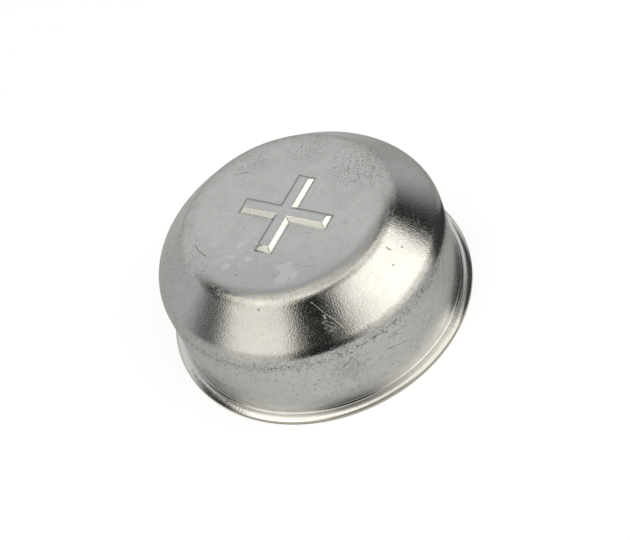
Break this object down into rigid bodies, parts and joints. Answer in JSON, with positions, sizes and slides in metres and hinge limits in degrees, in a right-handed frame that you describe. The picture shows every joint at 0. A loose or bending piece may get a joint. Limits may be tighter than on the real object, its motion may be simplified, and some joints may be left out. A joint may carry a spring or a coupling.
{
  "type": "hub grease cap",
  "caption": "Drawn sheet-steel cap with a straight wall, a cone, a flat closed top with a raised cross bead, and a narrow outward rim.",
  "frame": {"origin": "centre of the rim's flat underside, where the mouth opens", "axes": "+Z along the cap's axis, from the mouth to the closed end; +X and +Y along the arms of the cross bead"},
  "size_m": [0.0644, 0.0644, 0.0274],
  "materials": {
    "zinc_sheet": "bright zinc plate on drawn steel sheet, satin, with fine scratches"
  },
  "bodies": {
    "root": {"cap_shell": "zinc_sheet"}
  },
  "joints": []
}
